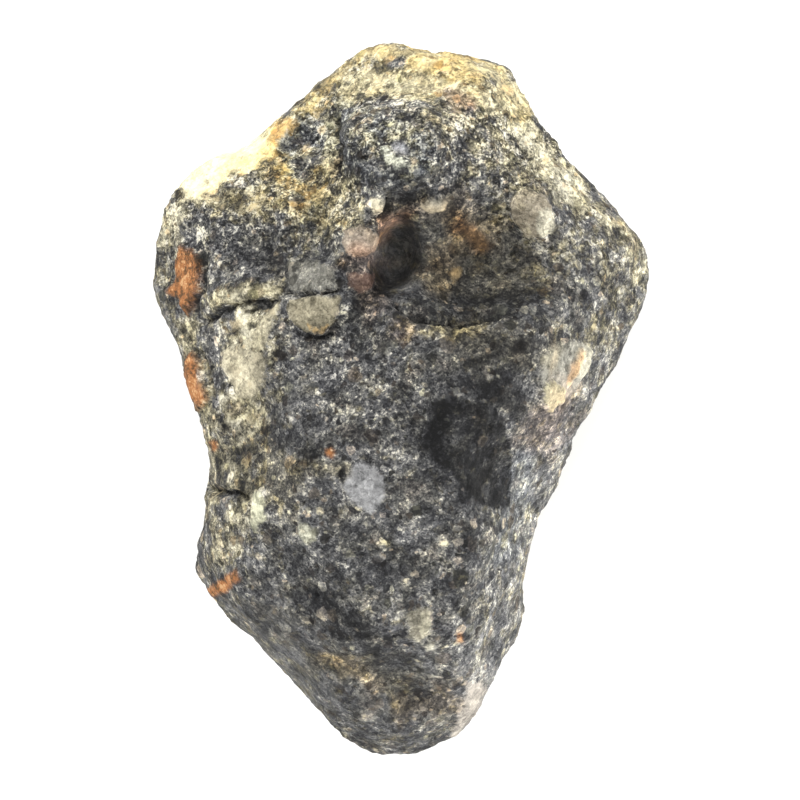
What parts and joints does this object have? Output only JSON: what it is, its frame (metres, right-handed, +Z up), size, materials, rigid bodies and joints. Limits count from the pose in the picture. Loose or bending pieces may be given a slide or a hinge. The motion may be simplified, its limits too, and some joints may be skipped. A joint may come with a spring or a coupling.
{
  "type": "lunar meteorite",
  "caption": "Palm-sized weathered breccia stone with a broad knobbly head, a deep dark hollow, a ledged front and a narrow blunt tail, lying on its flat broken back.",
  "frame": {"origin": "on the flat face that the stone lies on, below the middle of its outline", "axes": "+Z up from the resting face, +Y along the stone's length towards its wide end, +X across it, to the right as seen from above"},
  "size_m": [0.0414, 0.0596, 0.0281],
  "materials": {
    "breccia": "matt, weathered breccia: dark grey matrix with pale clasts and rusty crusts"
  },
  "bodies": {
    "root": {"meteorite": "breccia"}
  },
  "joints": []
}
